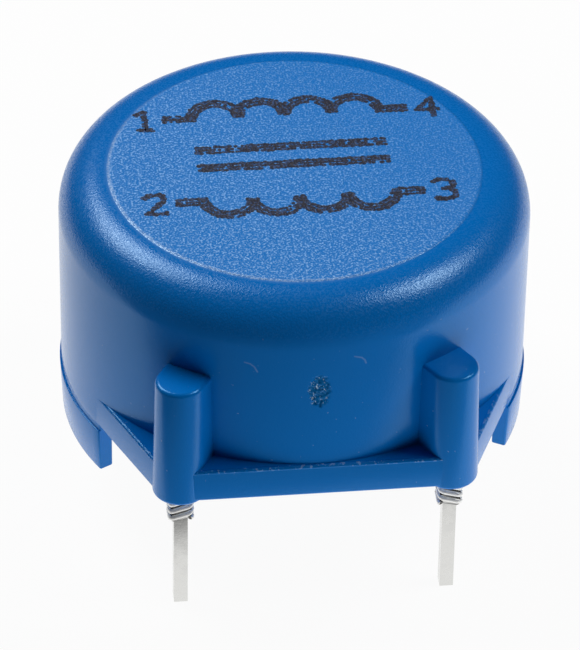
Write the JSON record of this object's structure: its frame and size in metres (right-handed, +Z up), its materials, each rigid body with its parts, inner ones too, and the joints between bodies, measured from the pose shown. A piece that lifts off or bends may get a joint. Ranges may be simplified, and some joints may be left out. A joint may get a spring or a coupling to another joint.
{
  "type": "common mode choke",
  "caption": "Mains filter choke: a ferrite ring with twin windings, cast into a round blue plastic cup with corner posts that hold square solder pins.",
  "frame": {"origin": "middle of the pin pattern, in the plane of the board that the feet stand on", "axes": "+Z up, away from the board; X along the pins of one winding's front and back side; front is -Y"},
  "size_m": [0.022, 0.0226, 0.0172],
  "materials": {
    "case_plastic": "moulded, fine grain on the top face",
    "ferrite": "sintered, dull",
    "enamelled_copper": "enamelled copper wire",
    "resin": "cast",
    "tinned_pin": "tinned",
    "tinned_wire": "dip soldered"
  },
  "bodies": {
    "root": {"case": "case_plastic", "ferrite_core": "ferrite", "left_winding": "enamelled_copper", "right_winding": "enamelled_copper", "casting_resin": "resin", "pin_front_left": "tinned_pin", "pin_front_right": "tinned_pin", "pin_back_left": "tinned_pin", "pin_back_right": "tinned_pin", "wire_wrap_front_left": "tinned_wire", "wire_wrap_front_right": "tinned_wire", "wire_wrap_back_left": "tinned_wire", "wire_wrap_back_right": "tinned_wire"}
  },
  "joints": []
}
